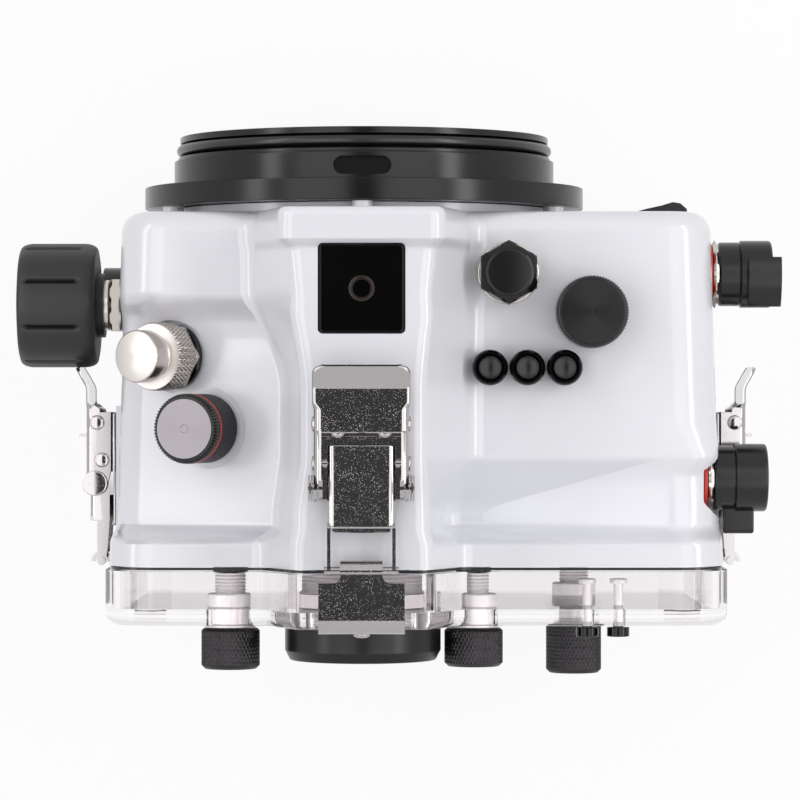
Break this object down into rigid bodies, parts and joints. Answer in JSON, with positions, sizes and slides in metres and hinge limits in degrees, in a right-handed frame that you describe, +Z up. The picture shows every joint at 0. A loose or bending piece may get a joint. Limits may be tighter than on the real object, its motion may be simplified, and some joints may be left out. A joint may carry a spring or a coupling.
{
  "type": "underwater camera housing",
  "caption": "White moulded underwater housing for a large camera, with a metal port ring in front, a clear back held by draw latches, and sealed knobs, levers and buttons.",
  "frame": {"origin": "on the flat base, straight under the axis of the port", "axes": "+X to the viewer's right, +Y towards the lens side, +Z up"},
  "size_m": [0.2342, 0.1704, 0.1628],
  "materials": {
    "white_shell": "glossy moulded white plastic",
    "black_anodised": "satin black anodised",
    "black_gloss": "gloss black plastic",
    "black_knob": "satin black plastic",
    "black_rubber": "black moulded rubber",
    "clear_plastic": "clear polycarbonate",
    "nickel": "nickel-plated metal",
    "stainless": "polished stainless steel",
    "red_rubber": "red rubber seal",
    "lens_glass": "clear glass"
  },
  "bodies": {
    "root": {"front_shell": "white_shell", "port_mount_ring": "black_anodised", "camera_tray": "black_anodised", "top_mount_plate": "black_gloss", "accessory_plug": "black_gloss", "eyepiece_ring": "black_gloss", "eyepiece_barrel": "black_gloss", "strobe_connector": "black_gloss", "button_collar_1": "black_knob", "button_collar_2": "black_knob", "button_collar_3": "black_knob", "port_o_ring": "black_rubber", "back_seal": "black_rubber", "clear_back": "clear_plastic", "zoom_gland": "nickel", "mode_gland": "nickel", "dial_gland": "nickel", "shutter_gland": "nickel", "thumb_gland": "nickel", "plug_washer": "nickel", "back_gland_a": "nickel", "back_gland_b": "nickel", "back_gland_c": "nickel", "tray_screw": "stainless", "latch_base_top": "stainless", "latch_catch_top": "stainless", "latch_base_left": "stainless", "latch_catch_left": "stainless", "latch_base_right": "stainless", "latch_catch_right": "stainless", "zoom_seal": "red_rubber", "shutter_seal": "red_rubber", "thumb_seal": "red_rubber", "eyepiece_lens": "lens_glass"},
    "zoom_knob": {"zoom_knob": "black_rubber"},
    "focus_lever": {"focus_lever": "black_knob"},
    "strobe_cap": {"strobe_cap": "nickel"},
    "mode_knob": {"mode_knob": "black_knob", "mode_knob_ring": "red_rubber"},
    "dial_knob": {"dial_knob": "black_knob"},
    "top_button_1": {"top_button_1": "black_knob"},
    "top_button_2": {"top_button_2": "black_knob"},
    "top_button_3": {"top_button_3": "black_knob"},
    "shutter_lever": {"shutter_lever": "black_knob"},
    "thumb_lever": {"thumb_lever": "black_knob"},
    "front_lever": {"front_lever": "black_knob"},
    "back_knob_a": {"back_knob_a": "black_knob"},
    "back_knob_b": {"back_knob_b": "black_knob"},
    "back_knob_c": {"back_knob_c": "black_knob"},
    "back_button_1": {"back_button_1": "black_knob"},
    "back_button_2": {"back_button_2": "black_knob"},
    "latch_lever_top": {"latch_lever_top": "stainless"},
    "latch_link_top": {"latch_link_top": "stainless"},
    "latch_lock_top": {"latch_lock_top": "stainless"},
    "latch_lever_left": {"latch_lever_left": "stainless"},
    "latch_link_left": {"latch_link_left": "stainless"},
    "latch_lock_left": {"latch_lock_left": "stainless"},
    "latch_lever_right": {"latch_lever_right": "stainless"},
    "latch_link_right": {"latch_link_right": "stainless"},
    "latch_lock_right": {"latch_lock_right": "stainless"}
  },
  "joints": [
    {"name": "zoom_turn", "type": "hinge", "parent": "root", "child": "zoom_knob", "pos_m": [-0.07435, 0.0295, 0.08], "axis": [-1, 0, 0], "continuous": true},
    {"name": "focus_swing", "type": "hinge", "parent": "root", "child": "focus_lever", "pos_m": [-0.07426, 0.0326, 0.042], "axis": [-1, 0, 0], "range_deg": [-30, 30]},
    {"name": "strobe_cap_turn", "type": "hinge", "parent": "root", "child": "strobe_cap", "pos_m": [-0.0565, 0.0131, 0.11158], "axis": [-0.5446, 0, 0.8387], "continuous": true},
    {"name": "mode_turn", "type": "hinge", "parent": "root", "child": "mode_knob", "pos_m": [-0.0465, -0.0086, 0.11613], "axis": [-0.3665, 0, 0.9304], "continuous": true},
    {"name": "dial_turn", "type": "hinge", "parent": "root", "child": "dial_knob", "pos_m": [0.0684, 0.0262, 0.127], "axis": [0, 0, 1], "continuous": true},
    {"name": "top_button_1_press", "type": "slide", "parent": "root", "child": "top_button_1", "axis": [0, 0, -1], "range_m": [0, 0.002], "stiffness_N_per_m": 1200, "springref_m": -0.0008},
    {"name": "top_button_2_press", "type": "slide", "parent": "root", "child": "top_button_2", "axis": [0, 0, -1], "range_m": [0, 0.002], "stiffness_N_per_m": 1200, "springref_m": -0.0008},
    {"name": "top_button_3_press", "type": "slide", "parent": "root", "child": "top_button_3", "axis": [0, 0, -1], "range_m": [0, 0.002], "stiffness_N_per_m": 1200, "springref_m": -0.0008},
    {"name": "shutter_pull", "type": "hinge", "parent": "root", "child": "shutter_lever", "pos_m": [0.1054, 0.0386, 0.1], "axis": [1, 0, 0], "range_deg": [0, 18], "stiffness_Nm_per_rad": 0.12, "springref_deg": -8.59},
    {"name": "thumb_press", "type": "hinge", "parent": "root", "child": "thumb_lever", "pos_m": [0.103, -0.0236, 0.111], "axis": [1, 0, 0], "range_deg": [0, 18], "stiffness_Nm_per_rad": 0.12, "springref_deg": -8.59},
    {"name": "front_lever_swing", "type": "hinge", "parent": "root", "child": "front_lever", "pos_m": [0.092, 0.057, 0.088], "axis": [0, 1, 0], "range_deg": [-20, 20]},
    {"name": "back_knob_a_turn", "type": "hinge", "parent": "root", "child": "back_knob_a", "pos_m": [0.0338, -0.0678, 0.105], "axis": [0, -1, 0], "continuous": true},
    {"name": "back_knob_b_turn", "type": "hinge", "parent": "root", "child": "back_knob_b", "pos_m": [0.0676, -0.0678, 0.034], "axis": [0, -1, 0], "continuous": true},
    {"name": "back_knob_c_turn", "type": "hinge", "parent": "root", "child": "back_knob_c", "pos_m": [-0.0405, -0.0678, 0.105], "axis": [0, -1, 0], "continuous": true},
    {"name": "back_button_1_press", "type": "slide", "parent": "root", "child": "back_button_1", "axis": [0, 1, 0], "range_m": [0, 0.0016], "stiffness_N_per_m": 1200, "springref_m": -0.0008},
    {"name": "back_button_2_press", "type": "slide", "parent": "root", "child": "back_button_2", "axis": [0, 1, 0], "range_m": [0, 0.0016], "stiffness_N_per_m": 1200, "springref_m": -0.0008},
    {"name": "latch_top_open", "type": "hinge", "parent": "root", "child": "latch_lever_top", "pos_m": [0, -0.0258, 0.1566], "axis": [1, 0, 0], "range_deg": [0, 95]},
    {"name": "latch_top_link_turn", "type": "hinge", "parent": "latch_lever_top", "child": "latch_link_top", "pos_m": [0, -0.0186, 0.1544], "axis": [1, 0, 0], "range_deg": [-76, 0]},
    {"name": "latch_top_lock_press", "type": "hinge", "parent": "latch_lever_top", "child": "latch_lock_top", "pos_m": [0, -0.007, 0.1559], "axis": [1, 0, 0], "range_deg": [0, 12]},
    {"name": "latch_left_open", "type": "hinge", "parent": "root", "child": "latch_lever_left", "pos_m": [-0.0833, -0.0258, 0.075], "axis": [0, 0, 1], "range_deg": [0, 95]},
    {"name": "latch_left_link_turn", "type": "hinge", "parent": "latch_lever_left", "child": "latch_link_left", "pos_m": [-0.0811, -0.0186, 0.075], "axis": [0, 0, 1], "range_deg": [-76, 0]},
    {"name": "latch_left_lock_press", "type": "hinge", "parent": "latch_lever_left", "child": "latch_lock_left", "pos_m": [-0.0826, -0.007, 0.075], "axis": [0, 0, 1], "range_deg": [0, 12]},
    {"name": "latch_right_open", "type": "hinge", "parent": "root", "child": "latch_lever_right", "pos_m": [0.1158, -0.0258, 0.075], "axis": [0, 0, -1], "range_deg": [0, 95]},
    {"name": "latch_right_link_turn", "type": "hinge", "parent": "latch_lever_right", "child": "latch_link_right", "pos_m": [0.1136, -0.0186, 0.075], "axis": [0, 0, -1], "range_deg": [-76, 0]},
    {"name": "latch_right_lock_press", "type": "hinge", "parent": "latch_lever_right", "child": "latch_lock_right", "pos_m": [0.1151, -0.007, 0.075], "axis": [0, 0, -1], "range_deg": [0, 12]}
  ],
  "couplings": [
    {"joint": "latch_top_link_turn", "follows": "latch_top_open", "ratio": -0.8},
    {"joint": "latch_left_link_turn", "follows": "latch_left_open", "ratio": -0.8},
    {"joint": "latch_right_link_turn", "follows": "latch_right_open", "ratio": -0.8}
  ]
}
